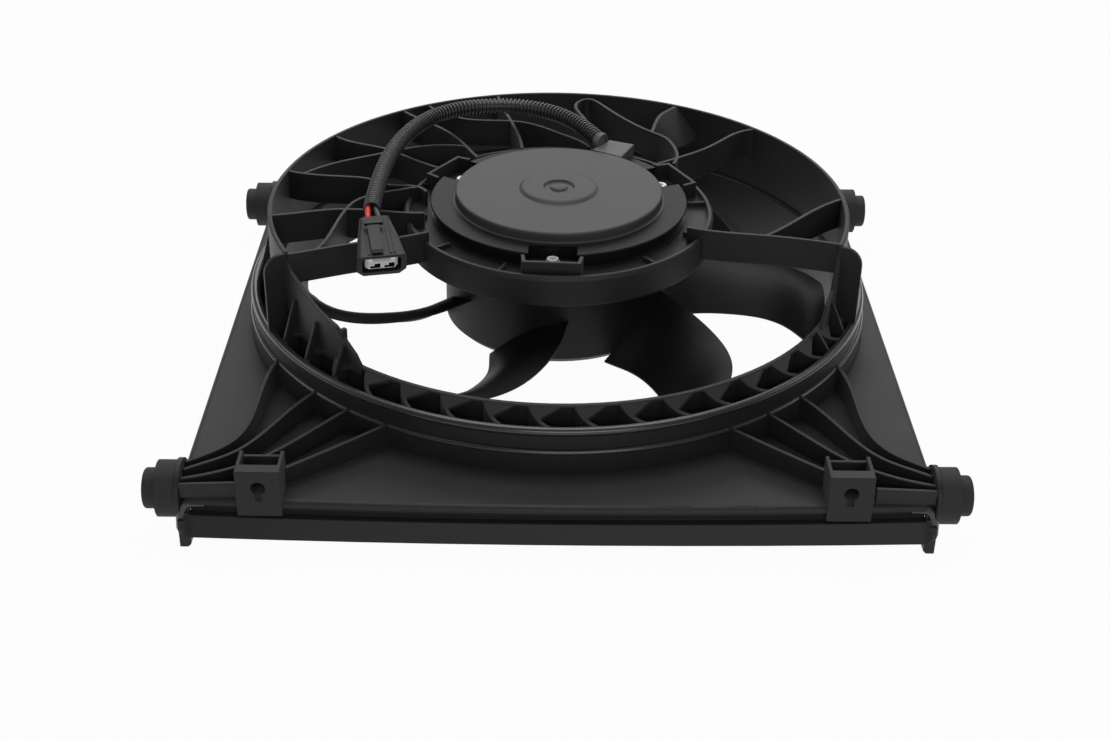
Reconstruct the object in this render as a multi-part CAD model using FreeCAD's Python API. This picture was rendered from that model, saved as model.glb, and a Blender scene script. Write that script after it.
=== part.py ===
import FreeCAD, Part
import os
from math import atan, cos, degrees, hypot, pi, radians, sin, tan

# Radiator cooling fan, built about the fan shaft: the shaft is the Z axis, the motor
# side is up and the radiator side is down. Every node is moved into the shared frame
# when it is saved (origin under the middle of the outline, at the tips of the hooks).
# All sizes are in mm.

V = FreeCAD.Vector
up = V(0, 0, 1)

# barrel round the fan
barrel_bore = 219.0
lip_top = 5.0
barrel_sheet = 2.6
rim_outer = barrel_bore + 6.0
rim_top = 58.0
bead_radius = barrel_bore + 22.0
bead_top = -3.5
step_radius = bead_radius + 2.0
step_top = -22.0
channel_floor = -24.0
# the pockets round the lip are shaped like saw teeth
pocket_pitch = 8.05
pocket_first = 207.85
pocket_count = 16
left_leg_angle = 206.5
right_leg_angle = 339.5

# outline of the shroud plate
half_width = step_radius + 14.0
front_edge = -278.0
front_bow = 7.0
rear_edge = 250.0
corner_radius = 13.0
plate_top = -37.0
plate_wall = 3.0
lip_roll = 4.5
band_top = -41.5
band_depth = 4.5
wall_foot = -49.0
skirt_foot = -62.0
skirt_flare = 9.0
hook_foot = -76.0

# motor
can_radius = 78.0
can_floor = -12.0
sheet = 2.0
flange_radius = can_radius + 22.0
drum_radius = flange_radius - 3.5
drum_top = 58.0
cap_radius = can_radius + 2.5
cap_top = 66.0
boss_radius = 28.0
boss_height = 2.0
dimple_radius = 11.0
button_radius = 6.5
ear_width = 36.0
ear_depth = 16.0
screw_circle = can_radius + 14.5
screw_angles = [267.0, 27.0, 147.0]
screw_radius = 2.5
shaft_radius = 5.0
stub_radius = 3.4
bearing_clearance = 0.03
bearing_radius = 13.0
bearing_height = 9.0

# motor carrier and its web of struts
carrier_radius = flange_radius + 19.5
carrier_wall = 2.6
carrier_top = 50.0
carrier_foot = 26.0
seat_top = 45.0
seat_bore = can_radius + 3.0
web_thickness = 2.6
web_foot = 33.5

# side mounts
bush_y_front = front_edge + 20.0
bush_y_rear = rear_edge - 54.0
bush_z = -42.0
bush_collar_radius = 19.5
bush_nose_radius = 14.0
bush_collar_length = 13.5
bush_nose_length = 9.5
pin_radius = 7.0
pin_length = 20.0
pin_clearance = 0.05

# fan wheel
hub_radius = can_radius + 11.0
hub_wall = 2.5
hub_foot = -41.0
hub_top = 14.0
blade_tip = barrel_bore - 5.5
# the blades are spaced a little unevenly
blade_angles = [0.0, 61.5, 123.5, 185.5, 240.0, 300.0]
blade_thickness = 2.8
blade_camber = 8.0

# corrugated conduit and plug
conduit_radius = 6.5
conduit_bore = 5.0
wire_radius = 2.1
wire_gap = 4.5
wire_depth = 3.0
plug_width = 36.0
plug_height = 21.0
plug_length = 41.0
wire_show = 13.0

# the shared frame
axis_y = -(front_edge - front_bow - skirt_flare + skirt_flare / 4.5 + rear_edge) / 2.0
to_frame = V(0, axis_y, -hook_foot)

os.makedirs("parts", exist_ok=True)


def save(name, shape):
    out = shape.copy()
    out.translate(to_frame)
    out.exportStep("parts/" + name + ".step")
    print(name, "solids", len(out.Solids), "volume", round(out.Volume), "valid", out.isValid())


def polar(radius, angle, z=0.0):
    a = radians(angle)
    return V(radius * cos(a), radius * sin(a), z)


def cyl(radius, z0, z1, x=0.0, y=0.0):
    return Part.makeCylinder(radius, z1 - z0, V(x, y, z0), up)


def tube(outer, inner, z0, z1):
    return cyl(outer, z0, z1).cut(cyl(inner, z0 - 1, z1 + 1))


def box(x0, x1, y0, y1, z0, z1):
    return Part.makeBox(x1 - x0, y1 - y0, z1 - z0, V(x0, y0, z0))


def turned(profile, start=0.0, sweep=360.0):
    # revolve a closed (radius, z) profile about the shaft
    points = [V(r, 0, z) for r, z in profile]
    face = Part.Face(Part.makePolygon(points + [points[0]]))
    face.rotate(V(0, 0, 0), up, start)
    return face.revolve(V(0, 0, 0), up, sweep)


def prism(points, z0, z1):
    corners = [V(x, y, z0) for x, y in points]
    face = Part.Face(Part.makePolygon(corners + [corners[0]]))
    return face.extrude(V(0, 0, z1 - z0))


def spun(shape, angle):
    out = shape.copy()
    out.rotate(V(0, 0, 0), up, angle)
    return out


def mirrored(shape):
    return shape.mirror(V(0, 0, 0), V(1, 0, 0))


def merge(shapes):
    out = shapes[0]
    if len(shapes) > 1:
        out = out.multiFuse(shapes[1:])
    return out.removeSplitter()


def wall_outline(points, width, z):
    # closed plan outline of a wall that follows a smooth curve through the points
    count = len(points)
    left = []
    right = []
    for i, (x, y) in enumerate(points):
        ax, ay = points[max(i - 1, 0)]
        bx, by = points[min(i + 1, count - 1)]
        span = hypot(bx - ax, by - ay)
        nx = -(by - ay) / span * width / 2
        ny = (bx - ax) / span * width / 2
        left.append(V(x + nx, y + ny, z))
        right.append(V(x - nx, y - ny, z))
    if count == 2:
        edge_a = Part.makeLine(left[0], left[1])
        edge_b = Part.makeLine(right[0], right[1])
    else:
        curve_a = Part.BSplineCurve()
        curve_a.interpolate(left)
        curve_b = Part.BSplineCurve()
        curve_b.interpolate(right)
        edge_a = curve_a.toShape()
        edge_b = curve_b.toShape()
    ends = [Part.makeLine(left[0], right[0]), Part.makeLine(left[-1], right[-1])]
    return Part.Wire(Part.__sortEdges__([edge_a, ends[1], edge_b, ends[0]]))


def wall_along(points, width, z0, z1):
    return Part.Face(wall_outline(points, width, z0)).extrude(V(0, 0, z1 - z0))


def outline(inset, z, flare=0.0):
    # plate outline: straight sides and rear, bowed front edge, rounded corners;
    # the flared foot bows a little less than the plate edge
    bow = front_bow - flare / 4.5
    w = half_width - inset
    y0 = front_edge + inset - flare
    y1 = rear_edge - inset
    r = corner_radius - inset
    k = r * (1 - cos(radians(45)))
    corners = [
        Part.makeLine(V(-w, y1 - r, z), V(-w, y0 + r, z)),
        Part.Arc(V(-w, y0 + r, z), V(-w + k, y0 + k, z), V(-w + r, y0, z)).toShape(),
        Part.Arc(V(-w + r, y0, z), V(0, y0 - bow, z), V(w - r, y0, z)).toShape(),
        Part.Arc(V(w - r, y0, z), V(w - k, y0 + k, z), V(w, y0 + r, z)).toShape(),
        Part.makeLine(V(w, y0 + r, z), V(w, y1 - r, z)),
        Part.Arc(V(w, y1 - r, z), V(w - k, y1 - k, z), V(w - r, y1, z)).toShape(),
        Part.makeLine(V(w - r, y1, z), V(-w + r, y1, z)),
        Part.Arc(V(-w + r, y1, z), V(-w + k, y1 - k, z), V(-w, y1 - r, z)).toShape(),
    ]
    return Part.Wire(corners)


def bush_cylinder(side, y, radius, x0, x1):
    # cylinder along X on one side, between two distances from the middle
    if side < 0:
        return Part.makeCylinder(radius, x1 - x0, V(-x1, y, bush_z), V(1, 0, 0))
    return Part.makeCylinder(radius, x1 - x0, V(x0, y, bush_z), V(1, 0, 0))


# shroud plate: a shallow pan with a flared front skirt, hooks, ribs and clip boxes
def make_plate():
    outer = Part.Face(outline(0, wall_foot)).extrude(V(0, 0, plate_top - wall_foot))
    rim = [e for e in outer.Edges if e.BoundBox.ZMin > plate_top - 0.1]
    outer = outer.makeFillet(lip_roll, rim)
    hollow = Part.Face(outline(plate_wall, wall_foot - 1))
    hollow = hollow.extrude(V(0, 0, plate_top - plate_wall - wall_foot + 1))
    pan = outer.cut(hollow)
    skirt_out = Part.makeLoft([outline(0, skirt_foot, skirt_flare), outline(0, wall_foot, 2.0)],
                              True, True)
    skirt_in = Part.makeLoft([outline(plate_wall, skirt_foot - 1, skirt_flare),
                              outline(plate_wall, wall_foot + 1, 2.0)], True, True)
    skirt = skirt_out.cut(skirt_in)
    # the skirt stops short of full depth along the sides and the rear
    skirt = skirt.cut(box(-300, 300, front_edge + 60, 300, skirt_foot - 2, wall_foot - 4))
    ledge = Part.Face(outline(0, wall_foot - 1, 2.0)).extrude(V(0, 0, 2.0))
    ledge = ledge.cut(Part.Face(outline(plate_wall + 1, wall_foot - 2)).extrude(V(0, 0, 4.0)))
    # second wall behind the band that is let into the front edge under the rolled lip
    band_half = half_width - 10.0
    front = box(-band_half, band_half, front_edge - 20, front_edge + 16, wall_foot - 2, plate_top)
    backing = Part.Face(outline(band_depth, wall_foot - 2)).extrude(V(0, 0, 13.0))
    backing = backing.cut(Part.Face(outline(band_depth + plate_wall, wall_foot - 3)).extrude(V(0, 0, 15)))
    shelf = Part.Face(outline(0, wall_foot - 2, 2.0)).extrude(V(0, 0, 2.0))
    shelf = shelf.cut(Part.Face(outline(band_depth + plate_wall, wall_foot - 3)).extrude(V(0, 0, 5.0)))
    parts = [pan, skirt, ledge, backing.common(front), shelf.common(front)]
    foot = plate_top - 0.5
    # fan of ribs from each front mount, as parts of the half width and the front edge;
    # their crests climb towards the ring
    ribs = [
        [(0.984, 0.896), (0.934, 0.867), (0.887, 0.831), (0.833, 0.647), (0.773, 0.398)],
        [(0.984, 0.928), (0.934, 0.903), (0.879, 0.874), (0.763, 0.727), (0.625, 0.561)],
        [(0.984, 0.964), (0.895, 0.942), (0.809, 0.903), (0.669, 0.781), (0.518, 0.639)],
        [(0.778, 0.971), (0.599, 0.853), (0.397, 0.705)],
        [(0.984, 0.987), (0.825, 0.987)],
    ]
    far = half_width * 1.5
    crest = turned([(100, foot - 1), (100, -19.0), (bead_radius, -19.0), (far, -28.0), (far, foot - 1)])
    for line in ribs:
        plan = [(-half_width * across, front_edge * along) for across, along in line]
        rib = wall_along(plan, 2.6, foot, -15.0).common(crest)
        parts.append(rib)
        parts.append(mirrored(rib))
    for side in (-1, 1):
        for y in (bush_y_front, bush_y_rear):
            parts.append(bush_cylinder(side, y, 21.0, half_width - 3.5, half_width))
            parts.append(bush_cylinder(side, y, pin_radius, half_width - 1, half_width + pin_length))
        # gussets behind each rear mount
        for dy in (-12.0, 0.0, 12.0):
            y = bush_y_rear + dy
            x0 = min(side * (half_width - 1), side * (half_width - 10))
            parts.append(box(x0, x0 + 9, y - 1.3, y + 1.3, foot, -28.0))
    plate = merge(parts)
    band = Part.Face(outline(-band_depth, wall_foot)).extrude(V(0, 0, band_top - wall_foot))
    band = band.cut(Part.Face(outline(band_depth, wall_foot - 1)).extrude(V(0, 0, 10.0)))
    plate = plate.cut(band.common(front))
    # the ring's stepped outside is let into the plate and the ends of the ribs
    wall = bead_radius - 0.5
    plate = plate.cut(turned([(0, skirt_foot - 5), (step_radius, skirt_foot - 5), (step_radius, step_top),
                              (wall, step_top + 2.5), (wall, 0), (0, 0)]))
    # hooks under the front corners
    hooks = []
    for side in (-1, 1):
        x0, x1 = sorted((side * (half_width - 9.5), side * (half_width - 2)))
        y0 = front_edge - 1
        stem = box(x0, x1, y0 - 2, y0 + 10, hook_foot + 3, wall_foot - 4)
        toe = Part.Face(Part.makePolygon([
            V(x0, y0 - 2, hook_foot + 8), V(x0, y0 - 2, hook_foot + 2), V(x0, y0 + 2, hook_foot),
            V(x0, y0 + 16, hook_foot), V(x0, y0 + 16, hook_foot + 4), V(x0, y0 + 10, hook_foot + 8),
            V(x0, y0 - 2, hook_foot + 8)])).extrude(V(x1 - x0, 0, 0))
        # the foot is cut off at a slant on the inner side
        inner_x = side * (half_width - 9.5)
        slant = Part.Face(Part.makePolygon([
            V(inner_x, y0 - 5, hook_foot - 1), V(inner_x + side * 5, y0 - 5, hook_foot - 1),
            V(inner_x, y0 - 5, hook_foot + 4), V(inner_x, y0 - 5, hook_foot - 1)])).extrude(V(0, 30, 0))
        hooks.append(merge([stem, toe]).cut(slant))
    plate = merge([plate] + hooks)
    # clip boxes with keyhole fronts
    clips = []
    for side, centre in ((-1, -199.0), (1, 194.0)):
        x0 = centre - 15.0
        x1 = centre + 15.0
        y0 = front_edge - 4.5
        y1 = y0 + 26.0
        shell = box(x0, x1, y0, y1, plate_top - 10.0, -12.0)
        shell = shell.cut(box(x0 + 2.5, x1 - 2.5, y0 + 2.5, y1 - 2.5, plate_top + 0.1, -14.5))
        shell = shell.cut(box(x0 + 2.5, x1 - 2.5, y0 + 9, y1 + 1, -15.0, -11.0))
        plate = plate.cut(box(x0 + 2.5, x1 - 2.5, y0 + 2.5, y1, plate_top + 0.1, -10.0))
        hole_z = -25.0
        bore = Part.makeCylinder(4.9, 8, V(centre, y0 - 2, hole_z), V(0, 1, 0))
        slot = box(centre - 2.35, centre + 2.35, y0 - 2, y0 + 5, hole_z - 10.0, hole_z)
        clips.append(shell.cut(bore).cut(slot))
    return merge([plate] + clips)


# pocketed ring at the foot of the barrel, all the way round
def make_barrel_ring():
    inner = barrel_bore + barrel_sheet
    outer = bead_radius - 5.0
    foot = plate_top - plate_wall
    wall = bead_radius - 0.5
    profile = [(barrel_bore, foot - 4), (inner, foot - 4), (inner, foot), (step_radius, foot),
               (step_radius, step_top), (wall, step_top + 2.5), (wall, bead_top - 4.5),
               (bead_radius, bead_top - 3.5), (bead_radius, bead_top - 1.8), (bead_radius - 1, bead_top - 0.5),
               (bead_radius - 2.4, bead_top), (outer + 1.6, bead_top - 0.5), (outer, bead_top - 2.4),
               (outer, channel_floor), (inner, channel_floor), (inner, lip_top - 2),
               (barrel_bore + 4.5, lip_top - 1.5), (barrel_bore + 4, lip_top),
               (barrel_bore + 1, lip_top), (barrel_bore, lip_top - 1)]
    ring = turned(profile)
    under = turned([(inner + 0.1, foot - 1), (step_radius - 2.6, foot - 1),
                    (step_radius - 2.6, channel_floor - barrel_sheet),
                    (inner + 0.1, channel_floor - barrel_sheet)])
    ring = ring.cut(under)
    pieces = [ring]
    # saw-tooth lip: each tooth starts with a short steep side and falls back over a long
    # slant, and a fin runs from its point down to the bead
    point = inner + 10.0
    crest = turned([(inner - 3, channel_floor - 2), (outer + 1, channel_floor - 2),
                    (outer + 1, bead_top - 1.5), (point + 1, bead_top + 1), (inner + 1, lip_top - 0.1),
                    (inner - 3, lip_top - 0.1)])
    lid = crest.cut(crest.translated(V(0, 0, -barrel_sheet)))
    for i in range(pocket_count + 1):
        a = pocket_first + pocket_pitch * i
        tooth = prism([(p.x, p.y) for p in (polar(inner - 1, a - 0.2), polar(point, a + 1.8),
                                            polar(point, a + 2.2),
                                            polar(inner - 1, a + pocket_pitch - 0.3))],
                      bead_top - 6.0, lip_top).common(lid)
        line = [polar(inner - 0.6, a + 0.4), polar(point - 2, a + 1.8), polar(outer + 0.8, a + 4.4)]
        fin = wall_along([(p.x, p.y) for p in line], 2.4, channel_floor - 1, lip_top)
        pieces.append(tooth)
        pieces.append(fin.common(crest))
    # taller fins stand along the falling ends of the tall wall
    back = inner + barrel_sheet + 0.05
    for angle, top in [(211.2, 28.0), (219.2, 23.0), (227.2, 17.0), (327.6, 8.0), (335.2, 17.5)]:
        brace = Part.Face(Part.makePolygon([
            V(back, -1.2, channel_floor - 1), V(back, -1.2, top), V(back + 2, -1.2, top),
            V(outer + 1, -1.2, bead_top - 2), V(outer + 1, -1.2, channel_floor - 1),
            V(back, -1.2, channel_floor - 1)])).extrude(V(0, 2.4, 0))
        pieces.append(spun(brace, angle))
    return merge(pieces)


# tall wall of the barrel with its falling ends and the two outer legs
def make_barrel_wall():
    low = channel_floor
    start = right_leg_angle - 360.0
    sweep = left_leg_angle - start
    inner = barrel_bore + barrel_sheet
    wall = turned([(inner, low), (rim_outer + 0.8, low), (rim_outer, rim_top - 1),
                   (rim_outer - 1, rim_top), (inner, rim_top)], start, sweep)
    pieces = [wall]
    # falling ends: the crest drops in soft steps to the lip
    ramps = [
        (left_leg_angle, 1, [(-1.0, 58), (0.8, 52), (2.2, 46), (6.5, 42), (13.5, 33),
                             (18.5, 29), (23.5, 13), (25.0, 4.0)]),
        (right_leg_angle, -1, [(-1.0, 58), (1.0, 48), (3.0, 26), (6.0, 18), (9.0, 4.0)]),
    ]
    for base, direction, crest in ramps:
        centre = base + direction * crest[-1][0] / 2
        points = []
        for turn, z in crest:
            t = inner * sin(radians(base + direction * turn - centre))
            points.append(V(0, t, z))
        last_t = points[-1].y
        first_t = points[0].y
        points += [V(0, last_t, lip_top - 6), V(0, first_t, lip_top - 6)]
        face = Part.Face(Part.makePolygon(points + [points[0]]))
        slab = face.extrude(V(260, 0, 0))
        slab.rotate(V(0, 0, 0), up, centre)
        pieces.append(slab.common(tube(inner + barrel_sheet, inner - 0.3, -30, 60)))
    stop = box(inner - 2.0, inner + 2.0, -1.6, 1.6, 16.0, 28.5)
    pieces.append(spun(stop, left_leg_angle + 20.0))
    # legs: the two front struts run past the wall, round over and drop to the step
    for angle in (left_leg_angle, right_leg_angle):
        a0 = V(rim_outer - 3, -1.5, step_top)
        reach = bead_radius - 0.5
        top = rim_top - 1
        r = 14.0
        k = r * (1 - cos(radians(45)))
        edges = [
            Part.makeLine(a0, V(rim_outer - 3, -1.5, top)),
            Part.makeLine(V(rim_outer - 3, -1.5, top), V(reach - r, -1.5, top)),
            Part.Arc(V(reach - r, -1.5, top), V(reach - k, -1.5, top - k),
                     V(reach, -1.5, top - r)).toShape(),
            Part.makeLine(V(reach, -1.5, top - r), V(reach, -1.5, step_top)),
            Part.makeLine(V(reach, -1.5, step_top), a0),
        ]
        leg = Part.Face(Part.Wire(edges)).extrude(V(0, 3, 0))
        pieces.append(spun(leg, angle))
    # outer ribs that carry the tall wall down to the ring
    for angle in range(5, 186, 20):
        gusset = Part.Face(Part.makePolygon([
            V(rim_outer - 1, -1.2, 40), V(rim_outer - 1, -1.2, channel_floor),
            V(bead_radius - 4, -1.2, channel_floor), V(bead_radius - 4, -1.2, bead_top - 2),
            V(rim_outer - 1, -1.2, 40)])).extrude(V(0, 2.4, 0))
        pieces.append(spun(gusset, angle))
    return merge(pieces)


# support ring for the motor: outer wall, seat, radial ribs, three screw pockets
def make_carrier():
    inner = carrier_radius - carrier_wall
    ring = turned([(inner, carrier_foot), (carrier_radius, carrier_foot),
                   (carrier_radius + 1.5, carrier_top - 3), (carrier_radius, carrier_top),
                   (inner, carrier_top)])
    seat = tube(carrier_radius - 1, seat_bore + 2, seat_top - 3, seat_top)
    collar = tube(seat_bore + 4.6, seat_bore + 2, carrier_foot + 4, seat_top - 1)
    pieces = [ring, seat, collar]
    for i in range(24):
        rib = box(seat_bore + 4, carrier_radius - 1, -1.1, 1.1, carrier_foot + 6, seat_top - 1)
        pieces.append(spun(rib, 15.0 * i + 7.5))
        if i % 2 == 0:
            blade = box(flange_radius + 3, carrier_radius - 1, -1.1, 1.1, seat_top - 1, carrier_top - 1)
            pieces.append(spun(blade, 15.0 * i + 7.5))
    carrier = merge(pieces)
    for angle in screw_angles:
        half = ear_width / 2 + 3.5
        pocket = prism([(carrier_radius - 19.0, -half - 1.5), (carrier_radius - 7, -half),
                        (carrier_radius - 7, half), (carrier_radius - 19.0, half + 1.5)],
                       seat_top - 1, drum_top)
        inside = prism([(carrier_radius - 30, -half - 0.5), (carrier_radius - 19.0, -half + 1.2),
                        (carrier_radius - 9.6, -half + 2.6), (carrier_radius - 9.6, half - 2.6),
                        (carrier_radius - 19.0, half - 1.2), (carrier_radius - 30, half + 0.5)],
                       seat_top - 2, drum_top + 1)
        clear = box(carrier_radius - 30, carrier_radius, -half, half, seat_top, drum_top)
        carrier = carrier.cut(spun(clear.cut(cyl(200, 0, seat_top)), angle).common(
            tube(carrier_radius - carrier_wall, seat_bore - 1, seat_top, drum_top)))
        boss = cyl(7.0, carrier_foot + 6, seat_top, screw_circle, 0)
        carrier = merge([carrier, spun(pocket.cut(inside), angle), spun(boss, angle)])
    for angle in screw_angles:
        carrier = carrier.cut(spun(cyl(screw_radius - 0.3, carrier_foot, seat_top + 1,
                                       screw_circle, 0), angle))
    return carrier


# web of curved struts: plan curves between the motor flange and the barrel wall
web_top = rim_top - 0.5
web_end = barrel_bore + barrel_sheet + 1
envelope = turned([(flange_radius + 2.5, seat_top), (carrier_radius - 1, seat_top),
                   (carrier_radius - 1, web_foot), (web_end, web_foot), (web_end, web_top),
                   (flange_radius + 2.5, web_top)])
# the plan curves below are drawn for these two radii and stretched to the ones in use
plan_inner = 119.5
plan_outer = 222.6


def stretched(line):
    out = []
    for x, y in line:
        r = hypot(x, y)
        grown = carrier_radius + (r - plan_inner) * (web_end - carrier_radius) / (plan_outer - plan_inner)
        out.append((x * grown / r, y * grown / r))
    return out


def leaning_wall(line, foot_line):
    # wall whose foot follows another plan curve than its crest
    ends = [wall_outline(stretched(foot_line), web_thickness, web_foot),
            wall_outline(stretched(line), web_thickness, web_top)]
    return Part.makeLoft(ends, True, True).common(envelope)


def make_web(name, neighbours):
    vanes = []
    for line in web_lines[name]:
        vanes.append(wall_along(stretched(line), web_thickness, 0, 80).common(envelope))
    for line, foot_line in leaning_lines.get(name, []):
        vanes.append(leaning_wall(line, foot_line))
    web = merge(vanes)
    for neighbour in neighbours:
        web = web.cut(neighbour)
    return max(web.Solids, key=lambda solid: solid.Volume)


web_lines = {
    "web_front_left": [
        [(-98, -62), (-112, -69), (-150, -82), (-196, -101), (-206, -104.5)],
        [(-103, -29), (-133, -27), (-156, -24), (-176, -25), (-198, -31), (-226, -37)],
        [(-112, 19), (-135, 9), (-151, -1), (-158, -9), (-163, -22), (-169, -54), (-178, -94)],
    ],
    "web_left": [
        [(-104, 10), (-117, 21), (-134, 22), (-151, 33), (-168, 37), (-204, 42), (-226, 54)],
        [(-204, 42), (-175, 68), (-146, 84), (-119, 98), (-75, 101)],
        [(-96, 56), (-124, 78), (-143, 94), (-176, 110), (-190, 125)],
        [(-66, 78), (-69, 84), (-81, 111), (-98, 138), (-119, 160), (-140, 186)],
    ],
    "web_rear": [
        [(-116, 198), (-98, 172), (-76, 160), (-45, 158), (-30, 155), (2, 131), (20, 113), (26, 102)],
        [(-30, 98), (-36, 139), (-43, 168), (-54, 222)],
    ],
    "web_right": [
        [(94, 70), (98, 84), (96, 110), (90, 126), (80, 137), (58, 165), (40, 196), (26, 211),
         (18, 203), (21, 172), (30, 135), (40, 100)],
        [(76, 66), (98, 82), (126, 106), (140, 123), (156, 140), (178, 146)],
        [(158, 138), (159, 110), (157, 86), (156, 47), (154, 30), (140, 9), (131, -6)],
        [(101, 32), (130, 41), (155, 49), (174, 63), (195, 74), (216, 80)],
        [(103, -5), (132, -7), (171, -7), (195, -1), (226, -1)],
    ],
    "web_front_right": [
        [(97, -49), (129, -58), (156, -62), (208, -75), (222, -80)],
        [(156, -61.5), (182, -34), (208, -6), (224, 6)],
    ],
}

# one vane at the rear right leans over: its foot stands nearer to the middle
leaning_lines = {
    "web_right": [([(80, 137), (83, 152), (86, 165), (92, 180), (102, 193), (108, 206)],
                   [(80, 137), (92, 149), (105, 159), (116, 170), (123, 184), (127, 194)])],
}

# rubber bushes on the four moulded pins
bush_sites = {"bush_front_left": (-1, bush_y_front), "bush_front_right": (1, bush_y_front),
              "bush_rear_left": (-1, bush_y_rear), "bush_rear_right": (1, bush_y_rear)}


def make_bush(side, y):
    x0 = half_width
    x1 = x0 + bush_collar_length
    x2 = x1 + bush_nose_length
    collar = bush_cylinder(side, y, bush_collar_radius, x0, x1)
    nose = bush_cylinder(side, y, bush_nose_radius, x0 + 2, x2)
    body = merge([collar, nose])
    ends = [e for e in body.Edges if abs(abs(e.CenterOfMass.x) - x2) < 0.1]
    body = body.makeFillet(2.0, ends)
    bore = bush_cylinder(side, y, pin_radius + pin_clearance, x0 - 1, x0 + pin_length + 0.5)
    return body.cut(bore)


# motor can: drawn steel pot with a bearing seat and a wide flange
def make_can():
    seat = bearing_radius + 0.05
    profile = [(seat, can_floor - 8), (seat + sheet, can_floor - 8), (seat + sheet, can_floor - 1),
               (24, can_floor), (can_radius - 6, can_floor), (can_radius, can_floor + 6),
               (can_radius, seat_top), (flange_radius - 1, seat_top),
               (flange_radius - 1, seat_top + sheet),
               (can_radius - sheet, seat_top + sheet), (can_radius - sheet, can_floor + 7),
               (can_radius - 7, can_floor + sheet), (24, can_floor + sheet),
               (seat, can_floor + 1.5)]
    can = turned(profile)
    lid = tube(seat + 0.5, shaft_radius + 1.0, can_floor - 8, can_floor - 6)
    can = merge([can, lid])
    for angle in screw_angles:
        can = can.cut(spun(cyl(screw_radius + 0.2, seat_top - 1, seat_top + 3, screw_circle, 0), angle))
    return can


# motor cover: drum, thin flange plate and round cap with its centre boss; three ear notches
def make_cover():
    low = seat_top + sheet
    under = drum_top - sheet
    crown = cap_top + boss_height
    profile = [(drum_radius - sheet, low), (drum_radius, low), (drum_radius, under),
               (flange_radius - 0.6, under), (flange_radius, under + 0.6), (flange_radius, drum_top - 0.6),
               (flange_radius - 0.6, drum_top), (cap_radius + 1.2, drum_top), (cap_radius + 0.3, drum_top + 0.4),
               (cap_radius, drum_top + 1.2), (cap_radius, cap_top - 1.5),
               (cap_radius - 0.45, cap_top - 0.45), (cap_radius - 1.5, cap_top), (boss_radius + 3, cap_top),
               (boss_radius + 0.6, crown - 0.4), (boss_radius - 0.8, crown), (dimple_radius + 1.2, crown),
               (dimple_radius, crown - 1.6), (button_radius + 0.5, crown - 1.6),
               (button_radius - 0.2, crown - 0.5), (button_radius - 2, crown), (0, crown + 0.2),
               (0, cap_top - 2.0), (cap_radius - 4, cap_top - 2.0), (cap_radius - 2, cap_top - 4),
               (cap_radius - 2, under), (drum_radius - 3, under), (drum_radius - sheet, under - 1)]
    cover = turned(profile)
    seat = tube(bearing_radius + 2.05, bearing_radius + 0.05, under - 0.8, cap_top - 1)
    cover = merge([cover, seat])
    rear = flange_radius - ear_depth
    for angle in screw_angles:
        half = ear_width / 2
        pocket = box(rear, flange_radius + 5, -half, half, low - 1, drum_top + 5)
        wall = box(rear - sheet, flange_radius + 5, -half - sheet, half + sheet,
                   low, drum_top - 0.5).cut(pocket).common(cyl(drum_radius - 0.5, 0, 100))
        cover = cover.cut(spun(pocket, angle))
        cover = merge([cover, spun(wall, angle)])
    return cover


def make_screws():
    shapes = []
    for angle in screw_angles:
        top = seat_top + sheet
        head = cyl(5.6, top, top + 1.4, screw_circle, 0)
        crown = cyl(4.4, top + 1.4, top + 4.4, screw_circle, 0)
        hex_cut = Part.Face(Part.makePolygon([
            V(screw_circle + 2.2 * cos(radians(60 * i)), 2.2 * sin(radians(60 * i)), top + 2.4)
            for i in range(7)])).extrude(V(0, 0, 4))
        shank = cyl(screw_radius - 0.32, seat_top - 14, top + 0.5, screw_circle, 0)
        shapes.append(spun(merge([head, crown, shank]).cut(hex_cut), angle))
    return Part.makeCompound(shapes)


# inside of the motor
magnet_inner = can_radius - 11.0
magnet_count = 8
magnet_sweep = 39.0
core_radius = magnet_inner - 0.8
core_low = 8.0
core_high = 33.0
slot_count = 24
slot_root = 34.0


def make_magnets():
    shapes = []
    for i in range(magnet_count):
        shapes.append(turned([(magnet_inner, core_low - 2), (can_radius - sheet - 0.1, core_low - 2),
                              (can_radius - sheet - 0.1, core_high + 2), (magnet_inner, core_high + 2)],
                             360.0 / magnet_count * i + 3, magnet_sweep))
    return Part.makeCompound(shapes)


def make_core():
    core = tube(core_radius, shaft_radius, core_low, core_high)
    slots = []
    for i in range(slot_count):
        slots.append(spun(box(slot_root, core_radius - 3, -3.4, 3.4, core_low - 1, core_high + 1), 15.0 * i))
        slots.append(spun(box(core_radius - 4, core_radius + 2, -0.9, 0.9, core_low - 1, core_high + 1),
                          15.0 * i))
    for i in range(6):
        slots.append(spun(cyl(7.0, core_low - 1, core_high + 1, 22, 0), 60.0 * i + 7.5))
    return core.cut(merge(slots))


def make_windings():
    coils = []
    for i in range(slot_count):
        coils.append(spun(box(slot_root + 2, core_radius - 4, -2.3, 2.3, core_low - 4, core_high + 4),
                          15.0 * i))
    head = core_radius - 5.0
    coils.append(turned([(slot_root, core_low), (slot_root + 2, core_low - 5), (head - 5, core_low - 5),
                         (head, core_low)]))
    coils.append(turned([(slot_root, core_high), (head, core_high), (head - 5, core_high + 5),
                         (slot_root + 2, core_high + 5)]))
    coils = merge(coils)
    return coils.cut(tube(core_radius + 1, core_radius - 3, 0, 50))


def make_commutator():
    drum = tube(16.0, shaft_radius, core_high + 9, core_high + 21.5)
    cuts = []
    for i in range(slot_count):
        cuts.append(spun(box(14.5, 18, -0.35, 0.35, core_high + 8, core_high + 23), 15.0 * i))
    neck = tube(28.0, shaft_radius, core_high + 7.2, core_high + 9)
    return merge([drum.cut(merge(cuts)), neck])


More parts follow.
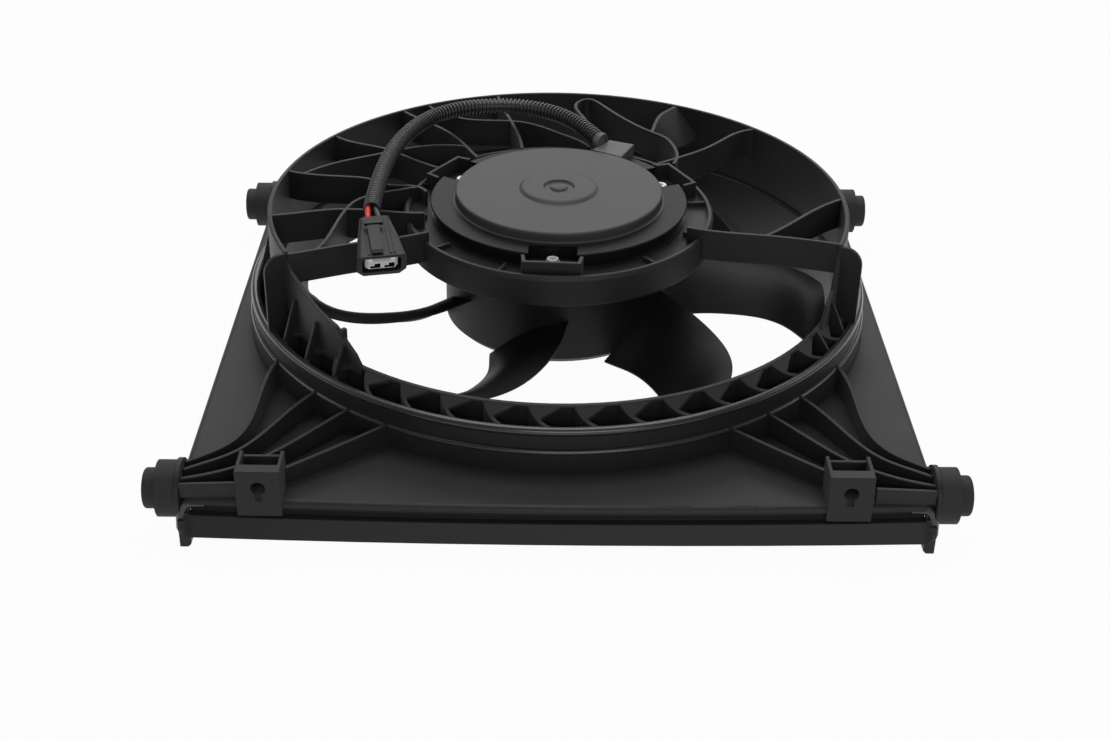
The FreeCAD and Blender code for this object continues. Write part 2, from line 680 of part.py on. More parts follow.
def make_brush_card():
    z0 = seat_top + sheet
    card = tube(can_radius + 2, 22.0, z0, z0 + 2.0)
    guides = [card]
    for i in range(4):
        guide = box(24, 48, -6.5, 6.5, z0 + 1.5, z0 + 8.0)
        guide = guide.cut(box(20, 50, -4.6, 4.6, z0 + 2.0, z0 + 7.0))
        guides.append(spun(guide, 90.0 * i + 45))
    return merge(guides)


def make_brushes():
    z0 = seat_top + sheet + 2.1
    shapes = []
    for i in range(4):
        block = box(16.2, 38, -4.4, 4.4, z0, z0 + 4.8).cut(cyl(16.3, 0, 100))
        shapes.append(spun(block, 90.0 * i + 45))
    return Part.makeCompound(shapes)


def make_bearing(z0):
    inner = shaft_radius + bearing_clearance
    race_in = tube(inner + 2.4, inner, z0, z0 + bearing_height)
    race_out = tube(bearing_radius, bearing_radius - 2.4, z0, z0 + bearing_height)
    shield = tube(bearing_radius - 2.0, inner + 2.0, z0 + 0.6, z0 + bearing_height - 0.6)
    return merge([race_in, race_out, shield])


bearing_low = can_floor - 6.0
bearing_high = cap_top - 2.0 - bearing_height
shaft_low = hub_foot + 3.5
shaft_high = bearing_high + bearing_height - 1.0


def make_shaft():
    shaft = cyl(shaft_radius, shaft_low, shaft_high)
    flat = box(3.8, 10, -10, 10, shaft_low - 1, shaft_low + 16)
    stub = cyl(stub_radius, shaft_low - 8.0, shaft_low + 1)
    return merge([shaft.cut(flat).cut(spun(flat, 180)), stub])


# fan wheel: open cup hub with inner ribs
def make_hub():
    foot = hub_foot
    cup = turned([(8.1, foot + 3), (8.1, foot + 5.5), (25, foot + 5.5), (28, foot + 3),
                  (hub_radius - 6, foot + 3), (hub_radius - hub_wall, foot + 6),
                  (hub_radius - hub_wall, hub_top), (hub_radius, hub_top), (hub_radius, foot + 5),
                  (hub_radius - 5, foot), (27, foot), (24, foot + 3)])
    sleeve = tube(16.0, 8.1, foot + 4, can_floor - 9.5)
    pieces = [cup, sleeve]
    for i in range(12):
        rib = Part.Face(Part.makePolygon([
            V(15, -1, foot + 4), V(27, -1, foot + 2.5), V(hub_radius - 4, -1, foot + 2.5),
            V(hub_radius - 1, -1, foot + 6), V(hub_radius - 1, -1, -16), V(60, -1, foot + 14),
            V(15, -1, foot + 14), V(15, -1, foot + 4)])).extrude(V(0, 2, 0))
        pieces.append(spun(rib, 30.0 * i))
    return merge(pieces)


# six swept blades with free tips; each section runs from the low edge to the high edge
# of the blade at one radius: way out, low angle, high angle, low z, high z
def make_blades():
    # the radius is given as a part of the way from the root to the tip
    root = hub_radius - 3.0
    sections = [(0.0, -7.0, 36.0, -41.5, -2.0), (0.149, 0.0, 32.0, -43.5, -7.0),
                (0.306, 2.0, 28.5, -44.5, -11.0), (0.463, 1.0, 24.5, -44.5, -14.0),
                (0.62, -1.0, 20.0, -44.5, -16.0), (0.776, -6.0, 14.0, -44.0, -17.0),
                (0.894, -12.0, 8.0, -43.5, -17.5), (1.0, -19.0, 1.0, -43.0, -17.5)]
    steps = 7
    wires = []
    caps = []
    for way_out, low_angle, high_angle, low_z, high_z in sections:
        radius = root + (blade_tip - root) * way_out
        top_row = []
        low_row = []
        for i in range(steps):
            t = i / (steps - 1.0)
            swell = sin(pi * t)
            angle = low_angle + (high_angle - low_angle) * t
            z = low_z + (high_z - low_z) * t + blade_camber * swell
            top_row.append(polar(radius, angle, z))
            low_row.append(polar(radius, angle, z - blade_thickness * (0.45 + 0.55 * swell)))
        curve_top = Part.BSplineCurve()
        curve_top.interpolate(top_row)
        curve_low = Part.BSplineCurve()
        curve_low.interpolate(low_row)
        wires.append(Part.Wire([curve_top.toShape(), Part.makeLine(top_row[-1], low_row[-1]),
                                curve_low.toShape(), Part.makeLine(low_row[0], top_row[0])]))
        caps.append(Part.makeRuledSurface(curve_top.toShape(), curve_low.toShape()))
    skin = Part.makeLoft(wires, False, False)
    shell = Part.Shell(skin.Faces + [caps[0], caps[-1]])
    shell.sewShape()
    blade = Part.Solid(shell)
    if blade.Volume < 0:
        blade.reverse()
    print("blade volume", round(blade.Volume), blade.isValid())
    blade = blade.cut(cyl(hub_radius, hub_foot - 10, hub_top + 10))
    return Part.makeCompound([spun(blade, angle) for angle in blade_angles])


def make_drive_insert():
    body = tube(8.0, shaft_radius, shaft_low, can_floor - 9.0)
    key = box(3.82, 6, -6, 6, shaft_low, shaft_low + 15.0).common(cyl(6.0, -80, 80))
    return merge([body, key, spun(key, 180)])


def make_nut():
    corners = [polar(7.5, 60 * i) for i in range(6)]
    nut = prism([(p.x, p.y) for p in corners], shaft_low - 6.5, shaft_low - 1.0)
    flange = cyl(11.0, shaft_low - 2.2, shaft_low - 0.5)
    return merge([nut, flange]).cut(cyl(stub_radius, -80, 0))


# cable outlet on the edge of the motor cover; its top is level with the cap
outlet_foot = 54.0
outlet_corners = [polar(cap_radius + reach, angle) for reach, angle in
                  ((1.5, 70.5), (26.5, 66.7), (28.8, 55.1), (0.0, 50.8))]
exit_point = polar(cap_radius + 19.6, 69.85, 66.7)
conduit_points = [exit_point, V(16.0, 132.0, 70.0), V(-29.5, 161.0, 70.5), V(-84.0, 153.5, 71.0),
                  V(-120.0, 112.0, 72.5), V(-139.5, 14.0, 77.0), V(-138.5, -72.0, 80.0)]


def make_outlet():
    plan = [(p.x, p.y) for p in outlet_corners]
    block = prism(plan, drum_top, cap_top)
    # the outer end overhangs the flange and reaches down beside it
    apron = prism(plan, outlet_foot, drum_top + 0.5).cut(cyl(flange_radius + 0.3, 0, 100))
    block = merge([block.cut(cyl(cap_radius + 0.05, 0, 100)), apron])
    ridge = [e for e in block.Edges if e.BoundBox.ZMin > cap_top - 0.1
             and hypot(e.CenterOfMass.x, e.CenterOfMass.y) > cap_radius + 6]
    block = block.makeFillet(1.2, ridge)
    way = conduit_points[1] - exit_point
    way.normalize()
    collar = Part.makeCylinder(conduit_radius + 0.8, 14.0, exit_point - way * 14.0, way)
    collar = collar.cut(prism(plan, cap_top - 0.6, 100)).common(box(-200, 200, -200, 200, drum_top + 0.3, 200))
    body = merge([block, collar]).cut(cyl(cap_radius + 0.05, 0, 100)).cut(cover)
    return body.cut(Part.makeCylinder(conduit_bore, 5.0, exit_point - way * 2.5, way))


def rounded_path(points):
    # straight runs joined by tangent arcs
    edges = []
    start = points[0]
    length = 0.0
    for i in range(1, len(points) - 1):
        a = points[i - 1]
        b = points[i]
        c = points[i + 1]
        run_in = b - a
        run_out = c - b
        shorter = min(run_in.Length, run_out.Length)
        u = V(run_in)
        u.normalize()
        w = V(run_out)
        w.normalize()
        turn = u.getAngle(w)
        cut_back = 0.45 * shorter
        radius = cut_back / tan(turn / 2)
        first = b - u * cut_back
        last = b + w * cut_back
        inward = w - u
        inward.normalize()
        centre = b + inward * (radius / cos(turn / 2))
        middle = centre - inward * radius
        edges.append(Part.makeLine(start, first))
        edges.append(Part.Arc(first, middle, last).toShape())
        print("conduit bend radius", round(radius, 1), "turn", round(degrees(turn), 1))
        start = last
    edges.append(Part.makeLine(start, points[-1]))
    wire = Part.Wire(edges)
    print("path length", round(wire.Length, 1))
    return wire


def make_conduit():
    path = rounded_path(conduit_points)
    way = conduit_points[1] - conduit_points[0]
    rings = [Part.Wire(Part.makeCircle(r, conduit_points[0], way)) for r in
             (conduit_radius, conduit_bore)]
    outer = path.makePipeShell([rings[0]], True, True)
    inner = path.makePipeShell([rings[1]], True, True)
    body = outer.cut(inner)
    area = pi * (conduit_radius ** 2 - conduit_bore ** 2)
    print("conduit volume check", round(body.Volume), round(area * path.Length))
    return body


# plug: X' across the plug, Y' out of its face, Z' up from its latch side
plug_way = V(0.20, -0.90, -0.40)
plug_way.normalize()
plug_side = V(plug_way.y, -plug_way.x, 0)
plug_side.normalize()
plug_up = plug_side.cross(plug_way)
plug_back = conduit_points[-1] + plug_way * wire_show


def on_plug(shape):
    # move a shape modelled at the origin (X across, Y out of the face, Z up) to the plug
    m = FreeCAD.Matrix(plug_side.x, plug_way.x, plug_up.x, plug_back.x,
                       plug_side.y, plug_way.y, plug_up.y, plug_back.y,
                       plug_side.z, plug_way.z, plug_up.z, plug_back.z,
                       0, 0, 0, 1)
    return shape.transformed(m)


def plug_outline(w, h, y):
    # outline of the plug across its length: rounded above, cut corners below
    r = 3.5
    k = r * (1 - cos(radians(45)))
    cut = 5.0
    return Part.Wire([
        Part.makeLine(V(-w, y, -h + cut), V(-w, y, h - r)),
        Part.Arc(V(-w, y, h - r), V(-w + k, y, h - k), V(-w + r, y, h)).toShape(),
        Part.makeLine(V(-w + r, y, h), V(w - r, y, h)),
        Part.Arc(V(w - r, y, h), V(w - k, y, h - k), V(w, y, h - r)).toShape(),
        Part.makeLine(V(w, y, h - r), V(w, y, -h + cut)),
        Part.makeLine(V(w, y, -h + cut), V(w - cut, y, -h)),
        Part.makeLine(V(w - cut, y, -h), V(-w + cut, y, -h)),
        Part.makeLine(V(-w + cut, y, -h), V(-w, y, -h + cut)),
    ])


def along_plug(points, x0, x1):
    # extrude a closed (length, height) profile across the plug
    corners = [V(x0, y, z) for y, z in points]
    return Part.Face(Part.makePolygon(corners + [corners[0]])).extrude(V(x1 - x0, 0, 0))


plug_half = plug_width / 2
plug_top = plug_height / 2
back_half = 11.0
back_top = 7.0


def make_plug_body():
    hood = Part.makeLoft([plug_outline(back_half, back_top, 0),
                          plug_outline(back_half + 4, plug_top - 1.5, 20),
                          plug_outline(plug_half, plug_top, plug_length)], True, True)
    ribs = []
    for x in (-9.6, -6.6, 9.0):
        ribs.append(along_plug([(1, back_top - 2), (1, back_top + 0.6), (20, plug_top - 0.7),
                                (plug_length - 2, plug_top + 0.6), (plug_length - 2, plug_top - 2)],
                               x - 0.6, x + 0.6))
    body = merge([hood] + ribs)
    w = plug_half - 4.0
    cavity = box(-w, w, plug_length - 20, plug_length + 1, -plug_top + 3.5, plug_top - 2.6)
    edges = [e for e in cavity.Edges if abs(e.Vertexes[0].Point.y - e.Vertexes[1].Point.y) > 5]
    body = body.cut(cavity.makeFillet(3.0, edges))
    for x in (-wire_gap, wire_gap):
        body = body.cut(Part.makeCylinder(wire_radius + 0.1, 14, V(x, -1, 0), V(0, 1, 0)))
    return body


# pale insert inside the hood: cut corners, a notch in its top and two stepped slots
def make_plug_insert():
    w = 11.6
    low = -4.6
    high = 7.0
    back = plug_length - 19.9
    face = plug_length - 2.0
    outline_points = [(-w, low + 2), (-w + 2, low), (w - 3, low), (w, low + 4), (w, high - 2.5), (w - 1.5, high),
                      (6.5, high), (6.5, high - 3), (-6.5, high - 3), (-6.5, high), (-w + 2.5, high),
                      (-w + 0.5, high - 3)]
    corners = [V(x, back, z) for x, z in outline_points]
    block = Part.Face(Part.makePolygon(corners + [corners[0]])).extrude(V(0, face - back, 0))
    for x in (-5.6, 4.6):
        block = block.cut(box(x - 3.6, x + 3.6, back + 1.5, face + 1, -2.2, -0.6))
        block = block.cut(box(x - 0.4, x + 3.6, back + 1.5, face + 1, -1.0, 1.2))
    # flange that holds the insert at the bottom of the hood
    edge = box(-plug_half + 4.05, plug_half - 4.05, back, back + 1.2, -plug_top + 3.6, plug_top - 2.7)
    edges = [e for e in edge.Edges if abs(e.Vertexes[0].Point.y - e.Vertexes[1].Point.y) > 1]
    return merge([block, edge.makeFillet(3.0, edges)])


def make_plug_latch():
    lever = along_plug([(12, plug_top + 0.6), (12, plug_top + 2.6), (plug_length - 4, plug_top + 3.0),
                        (plug_length - 2, plug_top + 1.4)], -1.5, 7.0)
    heel = box(-1.5, 7.0, plug_length - 14, plug_length - 5, plug_top - 0.35, plug_top + 1.6)
    thumb = box(-4.5, 9.0, 9.5, 12.5, plug_top + 0.6, plug_top + 3.6)
    return merge([lever, heel, thumb])


def make_terminals():
    shapes = []
    for x in (-5.6, 4.6):
        shapes.append(box(x - 3.0, x + 3.0, plug_length - 18.3, plug_length - 5, -1.9, -1.1))
    return Part.makeCompound(shapes)


def make_wire(x):
    # each wire starts inside the conduit and runs straight into the back of the plug
    start = conduit_points[-1] + plug_side * (x * 0.62)
    way = plug_back + plug_side * x - start
    way.normalize()
    start = start - way * wire_depth
    length = (plug_back + plug_side * x - start).Length
    return Part.makeCylinder(wire_radius, length, start, way)


save("shroud_plate", make_plate())
ring = make_barrel_ring()
barrel_wall = max(make_barrel_wall().cut(ring).Solids, key=lambda solid: solid.Volume)
carrier = make_carrier()
cover = make_cover()
save("barrel_ring", ring)
save("barrel_wall", barrel_wall)
save("motor_carrier", carrier)
outlet = make_outlet()
neighbours = [carrier, barrel_wall, outlet]
for name in web_lines:
    web = make_web(name, neighbours)
    neighbours.append(web)
    save(name, web)
for name, (side, y) in bush_sites.items():
    save(name, make_bush(side, y))
save("motor_can", make_can())
save("motor_cover", cover)
save("motor_screws", make_screws())
save("magnet_segments", make_magnets())
save("armature_core", make_core())
save("armature_windings", make_windings())
save("commutator", make_commutator())
save("brush_card", make_brush_card())
save("carbon_brushes", make_brushes())
save("bearing_lower", make_bearing(bearing_low))
save("bearing_upper", make_bearing(bearing_high))
save("motor_shaft", make_shaft())
save("fan_hub", make_hub())
save("fan_blades", make_blades())
save("drive_insert", make_drive_insert())
save("fan_nut", make_nut())
save("cable_outlet", outlet)
save("conduit", make_conduit())
save("wire_red", make_wire(wire_gap))
save("wire_black", make_wire(-wire_gap))
save("plug_body", on_plug(make_plug_body()))
save("plug_insert", on_plug(make_plug_insert()))
save("plug_latch", on_plug(make_plug_latch()))
save("plug_terminals", on_plug(make_terminals()))
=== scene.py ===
from math import cos, pi, radians, sin

import bpy
from mathutils import Matrix, Vector


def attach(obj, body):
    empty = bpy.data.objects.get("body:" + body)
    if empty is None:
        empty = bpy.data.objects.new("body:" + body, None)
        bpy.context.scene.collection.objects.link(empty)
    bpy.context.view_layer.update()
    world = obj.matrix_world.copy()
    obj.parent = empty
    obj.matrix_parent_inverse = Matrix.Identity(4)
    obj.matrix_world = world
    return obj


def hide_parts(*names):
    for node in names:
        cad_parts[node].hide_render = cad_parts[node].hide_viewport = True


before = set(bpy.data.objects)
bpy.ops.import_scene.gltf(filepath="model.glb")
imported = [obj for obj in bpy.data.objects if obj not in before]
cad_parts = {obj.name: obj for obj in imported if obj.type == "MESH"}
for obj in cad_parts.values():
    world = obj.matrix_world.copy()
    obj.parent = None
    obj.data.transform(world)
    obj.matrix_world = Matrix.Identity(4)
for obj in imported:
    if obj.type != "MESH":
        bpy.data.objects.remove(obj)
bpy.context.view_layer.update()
bpy.ops.object.select_all(action="DESELECT")
scene = bpy.context.scene
scene.view_settings.view_transform = "Standard"
mm = 0.001
shaftAt = Vector((0, 0.021, 0.076))  # fan shaft, at the height of the CAD source's zero
smoothBelow = radians(40)  # faces that meet at less than this are shaded as one
print("frame loaded:", len(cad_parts), "nodes")


# camera, fitted to the photograph
photoView = {
    "place": (-0.01417, -1.17844, 0.68565),
    "pitch": 30.55,  # degrees down from the horizon
    "yaw": 0.64,  # degrees to the right
    "roll": 0.93,  # degrees
    "lens": 54.55,  # mm, over a sensor that is 36 mm wide
    "sensor": 36.0,
    "nearest": 0.05,
    "farthest": 60,
}


def makeCamera(view):
    pitch = radians(view["pitch"])
    yaw = radians(view["yaw"])
    roll = radians(view["roll"])
    ahead = Vector((sin(yaw) * cos(pitch), cos(yaw) * cos(pitch), -sin(pitch)))
    right = ahead.cross(Vector((0, 0, 1))).normalized()
    above = right.cross(ahead)
    tiltedRight = right * cos(roll) + above * sin(roll)
    tiltedUp = above * cos(roll) - right * sin(roll)
    bpy.ops.object.camera_add(location=view["place"])
    camera = bpy.context.object
    camera.name = "photoCamera"
    turn = Matrix((tiltedRight, tiltedUp, -ahead)).transposed()
    camera.matrix_world = Matrix.Translation(view["place"]) @ turn.to_4x4()
    camera.data.sensor_width = view["sensor"]
    camera.data.lens = view["lens"]
    camera.data.clip_start = view["nearest"]
    camera.data.clip_end = view["farthest"]
    scene.camera = camera


def linearColour(hexCode):
    # sRGB hex to the linear colour that the shader wants
    shares = [int(hexCode[i:i + 2], 16) / 255 for i in (1, 3, 5)]
    linear = [c / 12.92 if c <= 0.04045 else ((c + 0.055) / 1.055) ** 2.4 for c in shares]
    return (*linear, 1.0)


def addNode(tree, kind, inputs=None, links=None, **settings):
    # one node with its settings, its socket values and what is plugged into it
    node = tree.nodes.new(kind)
    for name, value in settings.items():
        setattr(node, name, value)
    for socket, value in (inputs or {}).items():
        node.inputs[socket].default_value = value
    for socket, source in (links or {}).items():
        tree.links.new(source, node.inputs[socket])
    return node


# white studio: a glowing paper floor, a pale sky and five soft boxes
studio = {
    "floorSize": 400.0,
    "floorColour": "#b6b6b8",
    "floorGlow": 0.965,  # share of the floor's white that the camera sees without any light
    "worldColour": (1, 1, 1, 1),
    "worldLevel": 0.26,
    "lamps": [  # name, place, aimed at, width, depth, watts
        ("overheadBox", (0.0, 0.5, 2.4), (0, 0, 0.05), 2.0, 1.4, 30),
        ("leftBox", (-2.2, 0.6, 1.5), (0, 0, 0.05), 1.2, 1.2, 6),
        ("rightBox", (2.2, 0.6, 1.5), (0, 0, 0.05), 1.2, 1.2, 6),
        ("frontBox", (0.3, -2.3, 1.1), (0, 0, 0.08), 1.6, 1.0, 15),
        ("backBox", (0.15, 2.2, 1.35), (0, 0, 0.1), 2.8, 1.5, 22),
    ],
}


def makeFloor(plan):
    # the camera, mirror and glass rays see the glow; all other rays see plain paper
    bpy.ops.mesh.primitive_plane_add(size=plan["floorSize"], location=(0, 0, 0))
    floor = bpy.context.object
    floor.name = "studioFloor"
    paper = bpy.data.materials.new("whitePaperSweep")
    paper.use_nodes = True
    tree = paper.node_tree
    tree.nodes.remove(tree.nodes["Principled BSDF"])
    ray = addNode(tree, "ShaderNodeLightPath")
    direct = addNode(tree, "ShaderNodeMath", operation="MAXIMUM",
                     links={0: ray.outputs["Is Camera Ray"], 1: ray.outputs["Is Glossy Ray"]})
    seen = addNode(tree, "ShaderNodeMath", operation="MAXIMUM",
                   links={0: direct.outputs[0], 1: ray.outputs["Is Transmission Ray"]})
    matt = addNode(tree, "ShaderNodeBsdfDiffuse", inputs={"Color": linearColour(plan["floorColour"])})
    glow = addNode(tree, "ShaderNodeEmission", inputs={"Color": (1, 1, 1, 1), "Strength": 1.0})
    shown = addNode(tree, "ShaderNodeMixShader", inputs={0: plan["floorGlow"]},
                    links={1: matt.outputs[0], 2: glow.outputs[0]})
    mix = addNode(tree, "ShaderNodeMixShader",
                  links={0: seen.outputs[0], 1: matt.outputs[0], 2: shown.outputs[0]})
    tree.links.new(mix.outputs[0], tree.nodes["Material Output"].inputs["Surface"])
    floor.data.materials.append(paper)


def makeLight(plan):
    world = bpy.data.worlds.new("paleStudio")
    scene.world = world
    world.use_nodes = True
    sky = world.node_tree.nodes["Background"]
    sky.inputs["Color"].default_value = plan["worldColour"]
    sky.inputs["Strength"].default_value = plan["worldLevel"]
    for name, place, target, width, depth, watts in plan["lamps"]:
        bpy.ops.object.light_add(type="AREA", location=place)
        lamp = bpy.context.object
        lamp.name = name
        lamp.data.shape = "RECTANGLE"
        lamp.data.size = width
        lamp.data.size_y = depth
        lamp.data.energy = watts
        lamp.rotation_euler = (Vector(target) - Vector(place)).to_track_quat("-Z", "Y").to_euler()


makeCamera(photoView)
makeFloor(studio)
makeLight(studio)
print("camera and studio ready")


# materials; the noise scales are one over a real size
def startMaterial(name, **sockets):
    material = bpy.data.materials.new(name)
    material.use_nodes = True
    tree = material.node_tree
    shader = tree.nodes["Principled BSDF"]
    for socket, value in sockets.items():
        shader.inputs[socket.replace("_", " ")].default_value = value
    place = addNode(tree, "ShaderNodeTexCoord").outputs["Object"]
    return material, tree, shader, place


def glassFilledNylon(name, level, glossy, dull):
    # black PA66 with glass fibre, injection moulded: even satin black with a faint bloom
    material, tree, shader, place = startMaterial(name, IOR=1.53, Specular_IOR_Level=level,
                                                  Sheen_Weight=0.05, Sheen_Roughness=0.5)
    bloom = addNode(tree, "ShaderNodeTexNoise", inputs={"Scale": 1 / (45 * mm), "Detail": 4.0},
                    links={"Vector": place})  # clouds about 45 mm wide where the fibres surface
    colour = addNode(tree, "ShaderNodeMix", data_type="RGBA",
                     inputs={6: linearColour("#151516"), 7: linearColour("#1e1d1f")},
                     links={0: bloom.outputs["Fac"]})
    tree.links.new(colour.outputs[2], shader.inputs["Base Color"])
    sheen = addNode(tree, "ShaderNodeMapRange", inputs={"To Min": glossy, "To Max": dull},
                    links={"Value": bloom.outputs["Fac"]})
    tree.links.new(sheen.outputs["Result"], shader.inputs["Roughness"])
    spark = addNode(tree, "ShaderNodeTexNoise", inputs={"Scale": 1 / (1.2 * mm), "Detail": 2.0},
                    links={"Vector": place})  # spark-eroded grain of the tool, drawn coarse to show
    rounded = addNode(tree, "ShaderNodeBevel", samples=6, inputs={"Radius": 1.3 * mm})
    grain = addNode(tree, "ShaderNodeBump", inputs={"Strength": 0.10, "Distance": 0.15 * mm},
                    links={"Height": spark.outputs["Fac"], "Normal": rounded.outputs["Normal"]})
    tree.links.new(grain.outputs["Normal"], shader.inputs["Normal"])
    return material


def talcFilledPolypropylene():
    # fan wheel, talc-filled PP, injection moulded: a darker and duller black than the shroud's
    material, tree, shader, place = startMaterial("talcFilledPolypropylene", IOR=1.49,
                                                  Roughness=0.5, Specular_IOR_Level=0.26)
    flow = addNode(tree, "ShaderNodeTexNoise", inputs={"Scale": 1 / (30 * mm), "Detail": 3.0},
                   links={"Vector": place})  # flow clouds about 30 mm wide
    colour = addNode(tree, "ShaderNodeMix", data_type="RGBA",
                     inputs={6: linearColour("#0d0d0e"), 7: linearColour("#141415")},
                     links={0: flow.outputs["Fac"]})
    tree.links.new(colour.outputs[2], shader.inputs["Base Color"])
    fine = addNode(tree, "ShaderNodeTexNoise", inputs={"Scale": 1 / (0.9 * mm), "Detail": 2.0},
                   links={"Vector": place})  # talc grain, drawn coarse to show
    rounded = addNode(tree, "ShaderNodeBevel", samples=4, inputs={"Radius": 0.6 * mm})
    grain = addNode(tree, "ShaderNodeBump", inputs={"Strength": 0.08, "Distance": 0.1 * mm},
                    links={"Height": fine.outputs["Fac"], "Normal": rounded.outputs["Normal"]})
    tree.links.new(grain.outputs["Normal"], shader.inputs["Normal"])
    return material


coatEdge = [81.8 * mm, 82.4 * mm]  # distance from the shaft where the cap's coat fades out


def powderCoatedSteel():
    # motor cover: grey-brown powder coat on the round cap, with a fine orange peel; the
    # flange and the drum round it are black primer
    material, tree, shader, place = startMaterial("powderCoatedSteel", Roughness=0.46, IOR=1.5)
    patch = addNode(tree, "ShaderNodeTexNoise", inputs={"Scale": 1 / (20 * mm), "Detail": 3.0},
                    links={"Vector": place})  # patches about 20 mm wide
    coat = addNode(tree, "ShaderNodeMix", data_type="RGBA",
                   inputs={6: linearColour("#353235"), 7: linearColour("#3e3a3e")},
                   links={0: patch.outputs["Fac"]})
    primer = addNode(tree, "ShaderNodeMix", data_type="RGBA",
                     inputs={6: linearColour("#0c0c0d"), 7: linearColour("#121213")},
                     links={0: patch.outputs["Fac"]})
    level = addNode(tree, "ShaderNodeVectorMath", operation="MULTIPLY", inputs={1: (1, 1, 0)},
                    links={0: place})
    away = addNode(tree, "ShaderNodeVectorMath", operation="DISTANCE",
                   inputs={1: (shaftAt.x, shaftAt.y, 0)}, links={0: level.outputs["Vector"]})
    outside = addNode(tree, "ShaderNodeMapRange",
                      inputs={"From Min": coatEdge[0], "From Max": coatEdge[1]},
                      links={"Value": away.outputs["Value"]})
    colour = addNode(tree, "ShaderNodeMix", data_type="RGBA",
                     links={0: outside.outputs["Result"], 6: coat.outputs[2], 7: primer.outputs[2]})
    tree.links.new(colour.outputs[2], shader.inputs["Base Color"])
    shine = addNode(tree, "ShaderNodeMapRange", inputs={"To Min": 0.28, "To Max": 0.17},
                    links={"Value": outside.outputs["Result"]})  # the primer is the duller of the two
    tree.links.new(shine.outputs["Result"], shader.inputs["Specular IOR Level"])
    peel = addNode(tree, "ShaderNodeTexNoise", inputs={"Scale": 1 / (1.6 * mm), "Detail": 1.0},
                   links={"Vector": place})  # 1.6 mm waves of the coat
    rounded = addNode(tree, "ShaderNodeBevel", samples=6, inputs={"Radius": 0.8 * mm})
    bump = addNode(tree, "ShaderNodeBump", inputs={"Strength": 0.12, "Distance": 0.12 * mm},
                   links={"Height": peel.outputs["Fac"], "Normal": rounded.outputs["Normal"]})
    tree.links.new(bump.outputs["Normal"], shader.inputs["Normal"])
    return material


def plainMaterial(name, dark, light, patchSize, grainSize, grainDepth, **sockets):
    # shared layout of the plainer finishes: two close colours in patches and a fine bump, sizes in mm
    material, tree, shader, place = startMaterial(name, **sockets)
    patch = addNode(tree, "ShaderNodeTexNoise", inputs={"Scale": 1 / (patchSize * mm), "Detail": 3.0},
                    links={"Vector": place})
    colour = addNode(tree, "ShaderNodeMix", data_type="RGBA",
                     inputs={6: linearColour(dark), 7: linearColour(light)},
                     links={0: patch.outputs["Fac"]})
    tree.links.new(colour.outputs[2], shader.inputs["Base Color"])
    fine = addNode(tree, "ShaderNodeTexNoise", inputs={"Scale": 1 / (grainSize * mm), "Detail": 2.0},
                   links={"Vector": place})
    bump = addNode(tree, "ShaderNodeBump", inputs={"Strength": 0.2, "Distance": grainDepth * mm},
                   links={"Height": fine.outputs["Fac"]})
    tree.links.new(bump.outputs["Normal"], shader.inputs["Normal"])
    return material


def dress(names, material):
    for name in names:
        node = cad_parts[name]
        node.data.materials.clear()
        node.data.materials.append(material)


nylon = glassFilledNylon("glassFilledNylon", level=0.28, glossy=0.44, dull=0.58)
dress(["shroud_plate", "barrel_ring", "barrel_wall", "motor_carrier", "web_front_left", "web_left",
       "web_rear", "web_right", "web_front_right"], nylon)
# the same plastic with a glossier skin, for the rounded crests and corners that catch the light
polishedNylon = glassFilledNylon("glassFilledNylonPolished", level=0.6, glossy=0.20, dull=0.28)

dress(["fan_hub", "fan_blades"], talcFilledPolypropylene())
dress(["motor_cover"], powderCoatedSteel())

# bushes of EPDM, compression moulded: dull, slightly dusty black
rubber = plainMaterial("epdmRubber", "#161617", "#1f1f20", 12, 0.8, 0.1,
                       Roughness=0.66, IOR=1.52, Specular_IOR_Level=0.4)
dress(["bush_front_left", "bush_front_right", "bush_rear_left", "bush_rear_right"], rubber)
# motor pot, deep-drawn steel under black electrophoretic primer: smooth satin black
primedSteel = plainMaterial("primedDrawnSteel", "#151516", "#1e1e20", 20, 1.2, 0.08,
                            Roughness=0.38, IOR=1.5)
dress(["motor_can"], primedSteel)
# screws and nut, taken as steel in zinc flake coat, dipped and baked: pale grey flakes in a binder
zinc = plainMaterial("zincFlakeCoat", "#c4c4c0", "#d8d8d6", 3, 0.5, 0.04,
                     Roughness=0.42, Metallic=0.5)
dress(["motor_screws", "fan_nut"], zinc)
# magnets, pressed and sintered ferrite: dark grey, matt, a little gritty
ferrite = plainMaterial("sinteredFerrite", "#2f3033", "#3c3d40", 6, 0.6, 0.1,
                        Roughness=0.62, IOR=1.6)
dress(["magnet_segments"], ferrite)
# armature core, stacked silicon steel sheet: mid-grey metal with a dull sheen
laminations = plainMaterial("siliconSteelSheet", "#77797c", "#8d8f92", 8, 0.7, 0.06,
                            Roughness=0.42, Metallic=1.0)
dress(["armature_core"], laminations)
# windings, enamelled copper wire: red-brown metal under clear lacquer
enamelledCopper = plainMaterial("enamelledCopperWire", "#8a3f1d", "#a9552a", 4, 0.9, 0.3,
                                Roughness=0.3, Metallic=1.0)
dress(["armature_windings"], enamelledCopper)
# commutator, turned copper: bare and bright
segmentCopper = plainMaterial("turnedCopper", "#b06a43", "#c17c53", 4, 0.5, 0.05,
                              Roughness=0.3, Metallic=1.0)
dress(["commutator"], segmentCopper)
# brush card, punched from phenolic board: brown with a soft shine
cardResin = plainMaterial("phenolicCard", "#4a3320", "#5b4028", 8, 0.7, 0.06,
                          Roughness=0.5, IOR=1.6)
dress(["brush_card"], cardResin)
# brushes, pressed electrographite: dull dark grey
graphite = plainMaterial("electrographite", "#27282a", "#343537", 3, 0.5, 0.05,
                         Roughness=0.55, IOR=1.8)
dress(["carbon_brushes"], graphite)
